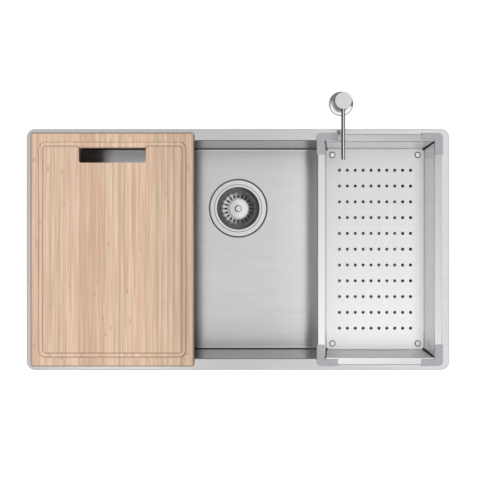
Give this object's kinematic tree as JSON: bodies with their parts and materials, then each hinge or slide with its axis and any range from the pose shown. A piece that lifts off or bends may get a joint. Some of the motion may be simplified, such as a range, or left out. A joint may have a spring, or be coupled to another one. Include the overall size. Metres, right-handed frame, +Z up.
{
  "type": "inset kitchen sink",
  "caption": "Single-bowl inset kitchen sink in brushed stainless steel with a lift-out basket strainer, a sliding bamboo board, a sliding colander tray and a deck soap pump.",
  "frame": {"origin": "middle of the worktop cut-out, on the worktop's top face", "axes": "+X to the right along the sink, +Y to the back where the soap pump stands, +Z up"},
  "size_m": [0.755, 0.4969, 0.3385],
  "materials": {
    "brushed": "brushed",
    "polished": "polished",
    "zinc": "zinc plated",
    "chrome": "polished",
    "brass": "turned",
    "bamboo": "oiled",
    "guard": "matt",
    "foot": "matt",
    "rubber": "matt",
    "foam": "matt",
    "damping": "matt",
    "plastic": "satin"
  },
  "bodies": {
    "sink": {"sink_rim": "brushed", "sink_bowl": "brushed", "rim_seal": "foam", "clip_brackets": "zinc", "clip_screws": "zinc", "clip_jaws": "zinc", "sound_pad_left": "damping", "sound_pad_right": "damping", "flange_seal": "rubber", "strainer_body": "polished", "housing_seal": "rubber", "waste_housing": "plastic", "housing_nut": "brass", "clamp_screw": "polished", "collar_seal": "rubber", "dispenser_collar": "chrome", "dispenser_shank": "brass", "shank_washer": "zinc", "shank_nut": "plastic"},
    "board": {"chopping_board": "bamboo"},
    "colander": {"colander_tray": "brushed", "corner_guard_1": "guard", "corner_guard_2": "guard", "corner_guard_3": "guard", "corner_guard_4": "guard", "colander_foot_1": "foot", "colander_foot_2": "foot", "colander_foot_3": "foot", "colander_foot_4": "foot", "foot_rivets": "polished"},
    "basket": {"strainer_basket": "polished", "basket_knob": "polished", "stem_clip": "polished", "stem_ring": "rubber", "basket_seal": "rubber"},
    "pump_swivel": {"pump_cylinder": "plastic", "inlet_ball": "zinc", "dip_tube": "plastic", "pump_spring": "zinc"},
    "pump_head": {"pump_piston": "plastic", "piston_ring": "rubber", "pump_head": "chrome", "pump_nozzle": "chrome"}
  },
  "joints": [
    {"name": "board_slide", "type": "slide", "parent": "sink", "child": "board", "axis": [1, 0, 0], "range_m": [0, 0.215]},
    {"name": "colander_slide", "type": "slide", "parent": "sink", "child": "colander", "axis": [1, 0, 0], "range_m": [-0.215, 0]},
    {"name": "basket_lift", "type": "slide", "parent": "sink", "child": "basket", "axis": [0, 0, 1], "range_m": [0, 0.06]},
    {"name": "pump_turn", "type": "hinge", "parent": "sink", "child": "pump_swivel", "pos_m": [0.184, 0.2604, 0], "axis": [0, 0, 1], "continuous": true},
    {"name": "pump_press", "type": "slide", "parent": "pump_swivel", "child": "pump_head", "axis": [0, 0, 1], "range_m": [-0.012, 0], "stiffness_N_per_m": 350, "springref_m": 0.012, "deforming": ["pump_spring"]}
  ]
}
